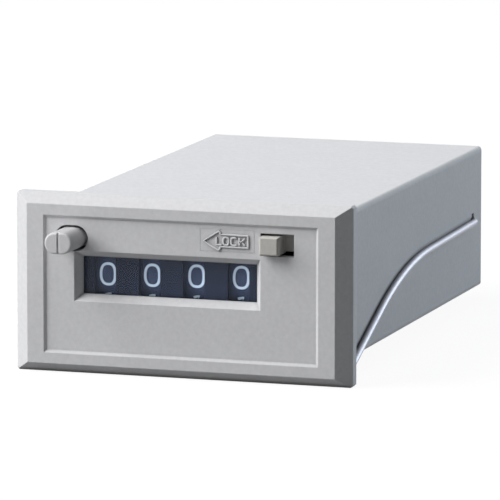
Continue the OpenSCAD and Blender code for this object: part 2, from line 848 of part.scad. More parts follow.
// Sleeve on the reset shaft with four fingers over the heart cams
module reset_comb() {
    right_end = wheel_xs[3] + wheel_w / 2 + gear_t + heart_t;
    color("lightslategray") difference() {
        union() {
            bar_x(left_side_x + side_t + 0.1, right_end, reset_y, reset_z, comb_hub_r);
            for (x = wheel_xs) reset_finger(x + wheel_w / 2 + gear_t + heart_t / 2);
        }
        bar_x(left_side_x, right_end + cut, reset_y, reset_z, reset_shaft_r);
    }
}

// Lever on the shaft's left end that the push rod swings
module reset_arm() {
    front = rod_end_y + 0.3;
    color("lightslategray") along_x(arm_x[0], arm_x[1]) difference() {
        union() {
            translate([reset_y, reset_z]) circle(2);
            polygon([[reset_y - 1.8, reset_z], [front, rod_z + 3], [front, rod_z - 2],
                     [front + 1.8, rod_z - 2], [reset_y + 1.8, reset_z]]);
        }
        translate([reset_y, reset_z]) circle(reset_shaft_r);
    }
}

module reset_finger(x) {
    along_x(x - finger_w / 2, x + finger_w / 2) polygon([
        [reset_y + 0.5, reset_z - 1.5], [reset_y - finger_len + 1, reset_z - 1.9],
        [reset_y - finger_len, reset_z - 1.5], [reset_y - finger_len, reset_z - 0.4],
        [reset_y + 0.5, reset_z + 1.5]]);
}

// Hinged plate in front of the core, with an arm to the pallets at the ratchet
module armature() {
    pawl_x = wheel_xs[3] + wheel_w / 2 + gear_t / 2;
    color("slategray") difference() {
        union() {
            block(armature_x, [armature_back_y - armature_t, armature_back_y], [hinge_z, 6]);
            block([armature_x[1] - 1, pawl_x + pallet_t / 2],
                  [armature_back_y - armature_t, armature_back_y], [0.5, 4.5]);
            block([pawl_x - pallet_t / 2, pawl_x + pallet_t / 2], [pallet_y, armature_back_y], [0.5, 3.5]);
            along_x(pawl_x - pallet_t / 2, pawl_x + pallet_t / 2) pallet_fork(pallet_y);
            bar_x(armature_x[0], armature_x[1], hinge_y, hinge_z, knuckle_r);
        }
        bar_x(armature_x[0] - cut, armature_x[1] + cut, hinge_y, hinge_z, pin_r + fit_gap);
    }
}

// Two pallets that stand above and below the ratchet's rear
module pallet_fork(y) {
    polygon([[y + 2, axis_z + 1], [y + 0.5, axis_z + 5.2], [y - 3.4, axis_z + 4], [y - 3.2, axis_z + 3.5],
             [y - 0.8, axis_z + 3.6], [y - 0.4, axis_z], [y - 0.8, axis_z - 5.2], [y - 3.4, axis_z - 5.8],
             [y - 3.4, axis_z - 6.4], [y + 0.5, axis_z - 6], [y + 2, axis_z - 1]]);
}

module armature_pin() {
    reach = ear_t + 0.1;
    color("silver") bar_x(armature_x[0] - reach, armature_x[1] + reach, hinge_y, hinge_z, pin_r);
}

module return_spring() {
    y0 = post_y + post_t;
    color("silver") translate([post_x, y0, spring_z]) rotate([-90, 0, 0])
        coil_spring(1.3, 0.18, armature_back_y - armature_t - y0, 9);
}

module coil_bobbin() {
    color("oldlace") translate([coil_x, 0, 0]) difference() {
        union() {
            for (y = [bobbin_front_y, bobbin_back_y - flange_bobbin_t])
                along_y(y, y + flange_bobbin_t) rounded_rect(bobbin_w, bobbin_h, 2);
            bar_y(bobbin_front_y, bobbin_back_y, 0, 0, bobbin_tube_r);
        }
        bar_y(bobbin_front_y - cut, bobbin_back_y + cut, 0, 0, core_d / 2 + fit_gap);
    }
}

module coil_winding() {
    color("sienna") translate([coil_x, 0, 0]) difference() {
        bar_y(bobbin_front_y + flange_bobbin_t, bobbin_back_y - flange_bobbin_t, 0, 0, winding_d / 2);
        bar_y(bobbin_front_y, bobbin_back_y, 0, 0, bobbin_tube_r);
    }
}

module magnet_core() {
    color("lightsteelblue") {
        bar_y(core_front_y, yoke_back_y, coil_x, 0, core_d / 2);
        bar_y(yoke_back_y, yoke_back_y + 0.8, coil_x, 0, core_d / 2 + 0.6);
    }
}

// Bent steel strip under and behind the coil
module magnet_yoke() {
    color("lightsteelblue") difference() {
        along_x(coil_x - yoke_w / 2, coil_x + yoke_w / 2) polygon([
            [yoke_front_y, base_top], [yoke_back_y, base_top], [yoke_back_y, yoke_top_z],
            [yoke_back_y - yoke_t, yoke_top_z], [yoke_back_y - yoke_t, base_top + yoke_t],
            [yoke_front_y, base_top + yoke_t]]);
        bar_y(yoke_front_y, yoke_back_y + cut, coil_x, 0, core_d / 2);
        for (y = yoke_screw_ys)
            translate([coil_x, y, base_top - cut]) cylinder(h = cut + yoke_screw_depth, r = yoke_screw_r);
    }
}

// Two countersunk screws from below that hold the yoke to the base
module yoke_screws() {
    color("silver") for (y = yoke_screw_ys) translate([coil_x, y, floor_z]) {
        cylinder(h = countersink_h, r1 = countersink_r, r2 = countersink_neck_r);
        cylinder(h = base_t + yoke_screw_depth, r = yoke_screw_r);
    }
}

// Insulated wires from the bobbin's rear flange, past the yoke, to the terminal tails
module coil_leads() {
    lead_r = 0.4;
    start_z = 5.5;
    lead_z = tail_z + terminal_t + lead_r;
    color("firebrick") for (i = [0, 1]) {
        start_x = coil_x + [-8, 8][i];
        end_x = terminal_xs[i];
        swept_wire([[start_x, bobbin_back_y, start_z], [start_x, bobbin_back_y + 4, start_z],
                    [(start_x + end_x) / 2, tail_end_y - 6, lead_z - 0.6],
                    [end_x, tail_end_y - 1.5, lead_z], [end_x, tail_end_y + 2, lead_z]], lead_r, 8, x_axis);
    }
}

front_bezel();
window_lens();
figure_mask();
reset_button();
reset_spring();
lock_slider();
lock_bar();
housing();
rear_cover();
mounting_spring();
terminal_plates();
terminal_screws();
mechanism_frame();
wheel_shaft();
number_wheel_thousands();
number_wheel_hundreds();
number_wheel_tens();
number_wheel_units();
pinion_shaft();
transfer_pinion_thousands();
transfer_pinion_hundreds();
transfer_pinion_tens();
reset_comb();
reset_arm();
reset_shaft();
armature();
armature_pin();
return_spring();
coil_bobbin();
coil_winding();
magnet_core();
magnet_yoke();
yoke_screws();
coil_leads();
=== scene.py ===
"""Looks of the panel counter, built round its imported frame.

Every place is in the frame of the CAD part: X to the right, Y to the back, Z up, with the origin
at the centre of the bezel's rear face. Sizes are in millimetres and become Blender's metres by MM,
apart from those of the camera, floor and lamps, which are in metres.
"""

import math

import bmesh
import bpy
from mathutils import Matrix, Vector


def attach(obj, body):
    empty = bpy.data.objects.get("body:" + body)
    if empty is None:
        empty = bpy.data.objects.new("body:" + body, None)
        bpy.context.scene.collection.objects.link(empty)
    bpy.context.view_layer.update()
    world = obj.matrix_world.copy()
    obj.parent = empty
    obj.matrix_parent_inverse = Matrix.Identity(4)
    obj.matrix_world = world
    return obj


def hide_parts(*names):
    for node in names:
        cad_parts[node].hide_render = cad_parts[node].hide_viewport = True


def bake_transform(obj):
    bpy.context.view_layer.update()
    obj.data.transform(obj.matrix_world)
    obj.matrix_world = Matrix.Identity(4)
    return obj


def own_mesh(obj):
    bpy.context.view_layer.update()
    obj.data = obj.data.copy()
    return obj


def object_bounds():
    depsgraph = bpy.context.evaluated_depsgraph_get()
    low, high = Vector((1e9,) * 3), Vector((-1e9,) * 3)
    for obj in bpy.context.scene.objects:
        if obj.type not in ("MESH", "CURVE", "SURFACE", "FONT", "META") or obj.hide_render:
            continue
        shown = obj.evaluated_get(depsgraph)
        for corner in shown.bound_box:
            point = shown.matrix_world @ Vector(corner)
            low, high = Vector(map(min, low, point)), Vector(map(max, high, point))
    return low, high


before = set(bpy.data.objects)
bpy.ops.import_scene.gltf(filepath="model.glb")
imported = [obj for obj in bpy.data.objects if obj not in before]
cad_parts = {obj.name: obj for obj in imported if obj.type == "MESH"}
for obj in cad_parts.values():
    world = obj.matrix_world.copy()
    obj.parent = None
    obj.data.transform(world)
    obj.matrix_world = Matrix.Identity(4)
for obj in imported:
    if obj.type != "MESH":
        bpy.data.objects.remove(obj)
cad_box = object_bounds()

MM = 0.001

# Camera fitted to the photograph's corners and edges, with its angles in degrees
IMAGE_PX = 500
FOCAL_PX = 6118.12
SENSOR_MM = 36.0
CAMERA_PLACE = (0.32492, -0.9714, 0.16948)
CAMERA_YAW = 17.9
CAMERA_PITCH = 9.05
CAMERA_FAR = 50

# Floor and surroundings
WHITE = (1, 1, 1, 1)
FLOOR_HALF = 3.0
FLOOR_PAPER = (0.23, 0.23, 0.23, 1)
FLOOR_GLOW = 0.93
FLOOR_SHADE = (0.08, 0.08, 0.08, 1)
SKY_COLOUR = (0.78, 0.89, 1.0, 1)
SKY_LEVEL = 0.05

# Lamps. A level is the light on a face turned to the lamp, where 1 shows a colour as it is written.
# A lamp that isn't mirrored lights the faces but leaves no bright spot of itself on them.
LAMP_TARGET = (0, 0.04, 0)
LAMPS = {
    "key_lamp": dict(towards=(-0.935, -0.52, 0.87), distance=1.3, size=1.0, level=1.57,
                     colour=(1.0, 1.0, 1.0), mirrored=False),
    "rim_lamp": dict(towards=(0.64, 0.77, 0.3), distance=1.3, size=0.9, level=0.55,
                     colour=(0.79, 0.9, 1.0), mirrored=True),
    "front_lamp": dict(towards=(-0.12, -0.17, 0.02), distance=0.21, size=0.06, level=0.08,
                       colour=(0.97, 0.98, 1.0), mirrored=True),
    "top_lamp": dict(towards=(0.0, -0.1, 1.0), distance=1.3, size=0.6, level=0.16,
                     colour=(1.0, 0.98, 0.95), mirrored=False),
}

# Number wheels
WHEEL_AXIS_Y = 9.3
WHEEL_AXIS_Z = 1.55
WHEEL_R = 9.0
WHEEL_XS = {"thousands": -14.375, "hundreds": -6.425, "tens": 1.525, "units": 9.475}

# Painted figures, with how far up the drum each wheel's set is printed
FIGURE_W = 3.0
FIGURE_H = 4.05
FIGURE_STROKE = 0.46
FIGURE_PAINT = 0.06
FIGURE_SIDE_SHIFT = 0.1
FIGURE_RISE = {"thousands": -0.07, "hundreds": 0.09, "tens": 0.32, "units": 0.48}
FIGURES_ROUND_DRUM = 10

# Ovals of figures and letters, in degrees. A closed one stops a step short of its start.
OVAL_STEP = 9
OVAL_FEWEST_STEPS = 6
OVAL_TOP = 90
OVAL_CLOSED = OVAL_TOP + 360 - OVAL_STEP

# Raised sign on the panel, as X and Z, and the mark of the mould's insert round it.
# Half of a line's height stands out of the panel.
PANEL_Y = -3.7
SIGN_ARROW = [
    (4.2, 8.76), (5.6, 9.65), (6.9, 10.47), (7.1, 10.25), (7.12, 9.95), (9.6, 9.9), (12.05, 9.85),
    (12.05, 8.75), (12.05, 7.8), (9.6, 7.83), (7.12, 7.83), (7.05, 7.5), (6.82, 7.2), (5.4, 7.98),
]
SIGN_LETTER_XS = {"L": 6.95, "O": 8.16, "C": 9.6, "K": 11.03}
SIGN_LETTER_Z = 8.82
SIGN_LETTER_W = 0.95
SIGN_LETTER_H = 1.3
SIGN_LINE_W = 0.28
SIGN_LINE_H = 0.48
MARK_OUTLINE = [(3.5, 7.0), (13.1, 7.0), (13.1, 10.8), (3.5, 10.8)]
MARK_LINE_W = 0.12
MARK_LINE_H = 0.03

# Mounting spring
WIRE_D = 1.2
WIRE_SIDES = 32
WIRE_X = 26.65
HOOK_Y = 85.55
HOOK_Z = 0.0
HOOK_END_X = 23.7
HOOK_BEND_R = 1.2
RUN_SLOPE = math.radians(1.1)
TURN_Y = 55.45
TURN_R = 85.0
TURN_STEPS = 32
FALL_SLOPE = math.radians(22)
FOOT_Z = -13.9
FOOT_R = 10.0
FOOT_STEPS = 10
CROSS_RUN_Y = 3.0
CROSS_BEND_R = 1.5
BEND_STEPS = 12

# Coil springs inside. An end is the room from a spring's stop to the middle of its last turn.
COIL_SIDES = 12
COIL_STEPS_PER_TURN = 24
BUTTON_ROD_X = -21.35
BUTTON_ROD_Z = -3.3
RESET_SPRING_FRONT_Y = -0.85
RESET_SPRING_REAR_Y = 8.0
RESET_COIL_R = 1.55
RESET_COIL_D = 0.38
RESET_COIL_END = 0.2
RESET_COIL_TURNS = 6
POST_X = -6.0
POST_REAR_Y = 26.2
ARMATURE_FRONT_Y = 34.3
RETURN_SPRING_Z = 4.0
RETURN_COIL_R = 1.3
RETURN_COIL_D = 0.34
RETURN_COIL_END = 0.18
RETURN_COIL_TURNS = 9

# Surface details. A scale counts the noise's cells in a metre.
NOISE_MIDDLE = 0.5
SMEAR_SCALE = 90.0
TARNISH_SCALE = 220.0
EDGE_ROUNDING = 0.22
EDGE_SAMPLES = 6
GAP_SAMPLES = 8
GRAIN_DEPTH = 0.01
TURN_DEPTH = 0.08

# Plastics. gloss is the roughness to start from and shine the strength of reflections. The shade
# setting is how dark the gaps are painted, as painted shade, and the wear setting how strongly the
# edges are lightened, as rubbed wear and as a painted highlight.
PLASTICS = {
    "case_plastic": dict(colour=(0.6, 0.6, 0.613), edge_colour=(0.76, 0.76, 0.77), gloss=0.68),
    # The sign's plastic is the case's, painted lighter as a painted highlight on its raised lines.
    "sign_plastic": dict(
        colour=(0.7, 0.7, 0.715), edge_colour=(0.86, 0.86, 0.87), gloss=0.6, painted_shade=0.1),
    "cover_plastic": dict(colour=(0.5, 0.5, 0.51), edge_colour=(0.58, 0.58, 0.58), gloss=0.65),
    # The button's edges are painted almost white, a painted highlight of the lamp on its rim.
    "button_plastic": dict(
        colour=(0.565, 0.56, 0.575), edge_colour=(0.95, 0.95, 0.94), gloss=0.3, shine=0.2, painted_shade=0.0,
        wear_and_highlight=16.0),
    "knob_plastic": dict(
        colour=(0.5, 0.485, 0.455), edge_colour=(0.66, 0.64, 0.6), gloss=0.4, shine=0.1, painted_shade=0.15),
    "wheel_plastic": dict(
        colour=(0.037, 0.051, 0.095), edge_colour=(0.041, 0.056, 0.1), gloss=0.55, shine=0.12,
        painted_shade=0.1),
    # The mask is the drums' navy painted darker, as painted shade, because it catches more light
    # than the drums in its shadow.
    "mask_plastic": dict(
        colour=(0.013, 0.02, 0.042), edge_colour=(0.016, 0.025, 0.05), gloss=0.55, shine=0.12,
        painted_shade=0.3),
    "pinion_plastic": dict(colour=(0.72, 0.7, 0.58), edge_colour=(0.8, 0.78, 0.7), gloss=0.4),
    "frame_plastic": dict(colour=(0.04, 0.042, 0.045), edge_colour=(0.12, 0.12, 0.125), gloss=0.5),
    "bobbin_plastic": dict(colour=(0.74, 0.7, 0.58), edge_colour=(0.82, 0.8, 0.72), gloss=0.4),
    "lead_insulation": dict(colour=(0.32, 0.02, 0.015), edge_colour=(0.5, 0.08, 0.06), gloss=0.35),
}

# Metals. stretch squeezes the noise into lines along the axis that has the smallest number.
METALS = {
    "spring_steel": dict(
        colour=(0.33, 0.335, 0.375), tarnish_colour=(0.2, 0.205, 0.235), tarnish=0.5, gloss=0.43,
        stretch=(4000.0, 40.0, 4000.0), depth=0.003),
    "shaft_steel": dict(
        colour=(0.62, 0.63, 0.65), tarnish_colour=(0.4, 0.4, 0.4), tarnish=0.3, gloss=0.25,
        stretch=(60.0, 5000.0, 5000.0)),
    "screw_steel": dict(
        colour=(0.66, 0.66, 0.65), tarnish_colour=(0.44, 0.42, 0.36), tarnish=0.4, gloss=0.28,
        stretch=(3000.0, 300.0, 3000.0)),
    "terminal_brass": dict(
        colour=(0.75, 0.55, 0.24), tarnish_colour=(0.45, 0.3, 0.14), tarnish=0.5, gloss=0.3,
        stretch=(80.0, 4000.0, 4000.0)),
    "magnet_iron": dict(
        colour=(0.5, 0.51, 0.53), tarnish_colour=(0.34, 0.33, 0.32), tarnish=0.5, gloss=0.35,
        stretch=(2500.0, 90.0, 2500.0)),
}

NODES_BY_FINISH = {
    "case_plastic": ["front_bezel", "housing"],
    "cover_plastic": ["rear_cover"],
    "lens_clear": ["window_lens"],
    "mask_plastic": ["figure_mask"],
    "button_plastic": ["reset_button"],
    "knob_plastic": ["lock_slider"],
    "wheel_plastic": ["number_wheel_thousands", "number_wheel_hundreds", "number_wheel_tens",
                      "number_wheel_units"],
    "pinion_plastic": ["transfer_pinion_thousands", "transfer_pinion_hundreds",
                       "transfer_pinion_tens"],
    "frame_plastic": ["mechanism_frame", "reset_comb", "reset_arm"],
    "bobbin_plastic": ["coil_bobbin"],
    "lead_insulation": ["coil_leads"],
    "winding_copper": ["coil_winding"],
    "spring_steel": ["reset_spring", "return_spring", "mounting_spring"],
    "shaft_steel": ["lock_bar", "wheel_shaft", "pinion_shaft", "reset_shaft", "armature_pin"],
    "screw_steel": ["terminal_screws", "yoke_screws"],
    "terminal_brass": ["terminal_plates"],
    "magnet_iron": ["armature", "magnet_core", "magnet_yoke"],
}


# Objects and nodes

def new_object(name, points, edges, faces):
    """Object in the scene with a mesh of points in metres."""
    mesh = bpy.data.meshes.new(name)
    mesh.from_pydata(points, edges, faces)
    piece = bpy.data.objects.new(name, mesh)
    bpy.context.scene.collection.objects.link(piece)
    return piece


def set_inputs(node, values):
    """Sets a node's unlinked inputs by name, where _ stands for a space."""
    for label, value in values.items():
        node.inputs[label.replace("_", " ")].default_value = value


def add_node(tree, kind, **values):
    """New node with its unlinked inputs set by name."""
    node = tree.nodes.new(kind)
    set_inputs(node, values)
    return node


def place_group(tree, group, **values):
    """New node for a shader group, with its unlinked inputs set by name."""
    node = tree.nodes.new("ShaderNodeGroup")
    node.node_tree = group
    set_inputs(node, values)
    return node


def math_node(tree, operation, first, second):
    """Math node on two values, each a socket or a number."""
    node = tree.nodes.new("ShaderNodeMath")
    node.operation = operation
    for place, value in enumerate((first, second)):
        if isinstance(value, (int, float)):
            node.inputs[place].default_value = value
        else:
            tree.links.new(value, node.inputs[place])
    return node.outputs[0]


def vector_node(tree, operation, first, second):
    """Vector math node on two sockets."""
    node = tree.nodes.new("ShaderNodeVectorMath")
    node.operation = operation
    tree.links.new(first, node.inputs[0])
    tree.links.new(second, node.inputs[1])
    return node


def mix_shaders(tree, factor, first, second, out):
    """Sends out the first shader where the factor is 0 and the second where it is 1."""
    mix = tree.nodes.new("ShaderNodeMixShader")
    tree.links.new(factor, mix.inputs["Fac"])
    tree.links.new(first, mix.inputs[1])
    tree.links.new(second, mix.inputs[2])
    tree.links.new(mix.outputs[0], out.inputs["Surface"])


def mix_colours(tree, factor, first, second):
    """Colour from the first, a socket, to the second, a socket or a plain colour."""
    mix = tree.nodes.new("ShaderNodeMix")
    mix.data_type = "RGBA"
    tree.links.new(factor, mix.inputs["Factor"])
    tree.links.new(first, mix.inputs["A"])
    if isinstance(second, tuple):
        mix.inputs["B"].default_value = second
    else:
        tree.links.new(second, mix.inputs["B"])
    return mix.outputs["Result"]


# Camera, floor and light

def place_camera():
    """Camera that sees the counter as the photograph does."""
    data = bpy.data.cameras.new("photo_camera")
    data.sensor_fit = "HORIZONTAL"
    data.sensor_width = SENSOR_MM
    data.lens = SENSOR_MM * FOCAL_PX / IMAGE_PX
    data.clip_end = CAMERA_FAR
    camera = bpy.data.objects.new("photo_camera", data)
    camera.location = CAMERA_PLACE
    camera.rotation_euler = (math.radians(90 - CAMERA_PITCH), 0, math.radians(CAMERA_YAW))
    bpy.context.scene.collection.objects.link(camera)
    bpy.context.scene.camera = camera


def seen_directly(tree):
    """1 for rays that should meet a white background.

    These are the camera's own rays, reflections and what glass lets through.
    """
    path = tree.nodes.new("ShaderNodeLightPath")
    seen = path.outputs["Is Camera Ray"]
    for kind in ("Is Glossy Ray", "Is Transmission Ray"):
        seen = math_node(tree, "MAXIMUM", seen, path.outputs[kind])
    return seen


def lay_floor():
    """Plain pale floor under the counter. Seen directly it is white, less the counter's shadow."""
    half = FLOOR_HALF
    z = cad_box[0][2]
    corners = [(-half, -half, z), (half, -half, z), (half, half, z), (-half, half, z)]
    floor = new_object("floor", corners, [], [(0, 1, 2, 3)])
    material = bpy.data.materials.new("pale_floor")
    material.use_nodes = True
    tree = material.node_tree
    tree.nodes.clear()
    out = tree.nodes.new("ShaderNodeOutputMaterial")
    paper = add_node(tree, "ShaderNodeBsdfDiffuse", Color=FLOOR_PAPER)
    glow = add_node(tree, "ShaderNodeEmission", Color=WHITE, Strength=FLOOR_GLOW)
    shade = add_node(tree, "ShaderNodeBsdfDiffuse", Color=FLOOR_SHADE)
    both = tree.nodes.new("ShaderNodeAddShader")
    tree.links.new(glow.outputs[0], both.inputs[0])
    tree.links.new(shade.outputs[0], both.inputs[1])
    mix_shaders(tree, seen_directly(tree), paper.outputs[0], both.outputs[0], out)
    floor.data.materials.append(material)


def light_surroundings():
    """Dim even light from all round, white where it is seen directly."""
    world = bpy.data.worlds.new("studio")
    world.use_nodes = True
    tree = world.node_tree
    tree.nodes.clear()
    out = tree.nodes.new("ShaderNodeOutputWorld")
    dim = add_node(tree, "ShaderNodeBackground", Color=SKY_COLOUR, Strength=SKY_LEVEL)
    white = add_node(tree, "ShaderNodeBackground", Color=WHITE)
    mix_shaders(tree, seen_directly(tree), dim.outputs[0], white.outputs[0], out)
    bpy.context.scene.world = world


def hang_lamp(name, towards, distance, size, level, colour, mirrored):
    """Square soft lamp that faces the counter."""
    data = bpy.data.lights.new(name, "AREA")
    data.shape = "SQUARE"
    data.size = size
    data.energy = level * (math.pi * distance) ** 2
    data.color = colour
    lamp = bpy.data.objects.new(name, data)
    direction = Vector(towards).normalized()
    lamp.location = Vector(LAMP_TARGET) + direction * distance
    lamp.rotation_euler = direction.to_track_quat("Z", "Y").to_euler()
    lamp.visible_glossy = mirrored
    bpy.context.scene.collection.objects.link(lamp)


# Shader node groups

def start_group(name, inputs, outputs):
    """Empty shader group with named sockets, each input as (name, kind, start value)."""
    group = bpy.data.node_groups.new(name, "ShaderNodeTree")
    for label, kind, start in inputs:
        socket = group.interface.new_socket(label, in_out="INPUT", socket_type=kind)
        socket.default_value = start
    for label, kind in outputs:
        group.interface.new_socket(label, in_out="OUTPUT", socket_type=kind)
    return group, group.nodes.new("NodeGroupInput"), group.nodes.new("NodeGroupOutput")


def noise(tree, vector, scale, detail, roughness=0.5):
    """Noise value at a place, where the scale is a socket or a number."""
    node = add_node(tree, "ShaderNodeTexNoise", Detail=detail, Roughness=roughness)
    tree.links.new(vector, node.inputs["Vector"])
    if isinstance(scale, (int, float)):
        node.inputs["Scale"].default_value = scale
    else:
        tree.links.new(scale, node.inputs["Scale"])
    return node.outputs["Fac"]


def vary(tree, value, amount):
    """Noise value made into a change about zero."""
    return math_node(tree, "MULTIPLY", math_node(tree, "SUBTRACT", value, NOISE_MIDDLE), amount)


def scaled_colour(tree, colour, factor):
    """Colour made lighter or darker by a factor."""
    node = tree.nodes.new("ShaderNodeVectorMath")
    node.operation = "SCALE"
    tree.links.new(colour, node.inputs[0])
    tree.links.new(factor, node.inputs["Scale"])
    return node.outputs["Vector"]


def make_moulded_skin():
    """Surface of a moulded plastic part: cloudy colour, spark eroded grain and uneven gloss."""
    group, given, result = start_group(
        "moulded_skin",
        [
            ("Base Colour", "NodeSocketColor", (0.8, 0.8, 0.8, 1)),
            ("Cloud Amount", "NodeSocketFloat", 0.05),
            ("Cloud Scale", "NodeSocketFloat", 160.0),
            ("Grain Amount", "NodeSocketFloat", 0.17),
            ("Grain Scale", "NodeSocketFloat", 1300.0),
            ("Gloss Start", "NodeSocketFloat", 0.45),
            ("Gloss Spread", "NodeSocketFloat", 0.12),
        ],
        [
            ("Colour", "NodeSocketColor"),
            ("Roughness", "NodeSocketFloat"),
            ("Height", "NodeSocketFloat"),
        ],
    )
    place = group.nodes.new("ShaderNodeTexCoord").outputs["Object"]
    cloud = noise(group, place, given.outputs["Cloud Scale"], detail=4.0)
    grain = noise(group, place, given.outputs["Grain Scale"], detail=2.0)
    smear = noise(group, place, SMEAR_SCALE, detail=3.0)
    cloud_part = vary(group, cloud, given.outputs["Cloud Amount"])
    grain_part = vary(group, grain, given.outputs["Grain Amount"])
    factor = math_node(group, "ADD", math_node(group, "ADD", cloud_part, grain_part), 1.0)
    gloss_part = vary(group, smear, given.outputs["Gloss Spread"])
    gloss = math_node(group, "ADD", gloss_part, given.outputs["Gloss Start"])
    colour = scaled_colour(group, given.outputs["Base Colour"], factor)
    group.links.new(colour, result.inputs["Colour"])
    group.links.new(gloss, result.inputs["Roughness"])
    group.links.new(grain, result.inputs["Height"])
    return group


def make_worn_highlit_edge():
    """Edges softened by tooling and handling: a rounded normal, and a mask that is 1 along them, by
    which edges are lightened as rubbed wear and as a painted highlight.
    """
    group, given, result = start_group(
        "rubbed_edge",
        [("Edge Gain", "NodeSocketFloat", 4.0), ("Patch Scale", "NodeSocketFloat", 400.0)],
        [("Mask", "NodeSocketFloat"), ("Normal", "NodeSocketVector")],
    )
    rounding = add_node(group, "ShaderNodeBevel", Radius=EDGE_ROUNDING * MM)
    rounding.samples = EDGE_SAMPLES
    flat = group.nodes.new("ShaderNodeNewGeometry")
    turn = vector_node(group, "DOT_PRODUCT", rounding.outputs["Normal"], flat.outputs["Normal"])
    bend = math_node(group, "SUBTRACT", 1.0, turn.outputs["Value"])
    place = group.nodes.new("ShaderNodeTexCoord").outputs["Object"]
    patch = noise(group, place, given.outputs["Patch Scale"], detail=3.0)
    strong = math_node(group, "MULTIPLY", bend, given.outputs["Edge Gain"])
    worn = math_node(group, "MULTIPLY", strong, patch)
    limited = group.nodes.new("ShaderNodeClamp")
    group.links.new(worn, limited.inputs["Value"])
    group.links.new(limited.outputs[0], result.inputs["Mask"])
    group.links.new(rounding.outputs["Normal"], result.inputs["Normal"])
    return group


def make_gap_shade():
    """Painted shade in tight gaps: 1 on open faces, less where another face stands close by."""
    group, given, result = start_group(
        "gap_dust",
        [("Reach", "NodeSocketFloat", 0.7 * MM), ("Depth", "NodeSocketFloat", 0.75)],
        [("Shade", "NodeSocketFloat")],
    )
    near = group.nodes.new("ShaderNodeAmbientOcclusion")
    near.samples = GAP_SAMPLES
    group.links.new(given.outputs["Reach"], near.inputs["Distance"])
    closed = math_node(group, "SUBTRACT", 1.0, near.outputs["AO"])
    painted_shade = math_node(group, "MULTIPLY", closed, given.outputs["Depth"])
    group.links.new(math_node(group, "SUBTRACT", 1.0, painted_shade), result.inputs["Shade"])
    return group


def make_drawn_metal():
    """Metal with fine lines along one axis, faint tarnish and small changes of gloss."""
    group, given, result = start_group(
        "drawn_metal",
        [
            ("Base Colour", "NodeSocketColor", (0.7, 0.7, 0.7, 1)),
            ("Tarnish Colour", "NodeSocketColor", (0.4, 0.4, 0.4, 1)),
            ("Tarnish", "NodeSocketFloat", 0.2),
            ("Line Stretch", "NodeSocketVector", (4000.0, 60.0, 4000.0)),
            ("Gloss Start", "NodeSocketFloat", 0.2),
            ("Gloss Spread", "NodeSocketFloat", 0.15),
        ],
        [
            ("Colour", "NodeSocketColor"),
            ("Roughness", "NodeSocketFloat"),
            ("Height", "NodeSocketFloat"),
        ],
    )
    place = group.nodes.new("ShaderNodeTexCoord").outputs["Object"]
    stretch = vector_node(group, "MULTIPLY", place, given.outputs["Line Stretch"])
    lines = noise(group, stretch.outputs["Vector"], 1.0, detail=2.0)
    spots = noise(group, place, TARNISH_SCALE, detail=5.0, roughness=0.6)
    tarnish = math_node(group, "MULTIPLY", spots, given.outputs["Tarnish"])
    colour = mix_colours(
        group, tarnish, given.outputs["Base Colour"], given.outputs["Tarnish Colour"])
    gloss_part = vary(group, lines, given.outputs["Gloss Spread"])
    gloss = math_node(group, "ADD", gloss_part, given.outputs["Gloss Start"])
    group.links.new(colour, result.inputs["Colour"])
    group.links.new(gloss, result.inputs["Roughness"])
    group.links.new(lines, result.inputs["Height"])
    return group


# Materials

def start_material(name):
    """New material with one principled shader, and its parts."""
    material = bpy.data.materials.new(name)
    material.use_nodes = True
    tree = material.node_tree
    tree.nodes.clear()
    out = tree.nodes.new("ShaderNodeOutputMaterial")
    shader = tree.nodes.new("ShaderNodeBsdfPrincipled")
    tree.links.new(shader.outputs["BSDF"], out.inputs["Surface"])
    return material, tree, shader, out


def bump(tree, height, normal, strength, depth):
    """Normal bumped by a height, on top of another normal if one is given."""
    node = add_node(tree, "ShaderNodeBump", Strength=strength, Distance=depth * MM)
    tree.links.new(height, node.inputs["Height"])
    if normal:
        tree.links.new(normal, node.inputs["Normal"])
    return node.outputs["Normal"]


def moulded_plastic(name, colour, edge_colour, gloss, shine=0.25, painted_shade=0.75, wear_and_highlight=4.0):
    """Grained plastic of a cloudy colour, its edges lightened to edge_colour as rubbed wear and
    painted highlight, and painted shade in its gaps.
    """
    material, tree, shader, _ = start_material(name)
    shader.inputs["Specular IOR Level"].default_value = shine
    skin = place_group(tree, moulded_skin, Base_Colour=(*colour, 1), Gloss_Start=gloss)
    edge = place_group(tree, rubbed_edge, Edge_Gain=wear_and_highlight)
    # edges lightened to the edge colour: rubbed wear and a painted highlight
    worn_highlit_colour = mix_colours(tree, edge.outputs["Mask"], skin.outputs["Colour"], (*edge_colour, 1))
    # painted shade: the colour is darkened where another face stands close by
    gaps = place_group(tree, gap_dust, Depth=painted_shade)
    gap_shaded_colour = scaled_colour(tree, worn_highlit_colour, gaps.outputs["Shade"])
    tree.links.new(gap_shaded_colour, shader.inputs["Base Color"])
    tree.links.new(skin.outputs["Roughness"], shader.inputs["Roughness"])
    normal = bump(
        tree, skin.outputs["Height"], edge.outputs["Normal"], strength=0.25, depth=GRAIN_DEPTH)
    tree.links.new(normal, shader.inputs["Normal"])
    return material


def bare_metal(name, colour, tarnish_colour, tarnish, gloss, stretch, depth=0.004):
    """Bare metal with lines drawn along the axis that stretch leaves long."""
    material, tree, shader, _ = start_material(name)
    shader.inputs["Metallic"].default_value = 1.0
    skin = place_group(
        tree, drawn_metal, Base_Colour=(*colour, 1), Tarnish_Colour=(*tarnish_colour, 1),
        Tarnish=tarnish, Line_Stretch=stretch, Gloss_Start=gloss,
    )
    edge = place_group(tree, rubbed_edge)
    tree.links.new(skin.outputs["Colour"], shader.inputs["Base Color"])
    tree.links.new(skin.outputs["Roughness"], shader.inputs["Roughness"])
    normal = bump(tree, skin.outputs["Height"], edge.outputs["Normal"], strength=0.2, depth=depth)
    tree.links.new(normal, shader.inputs["Normal"])
    return material


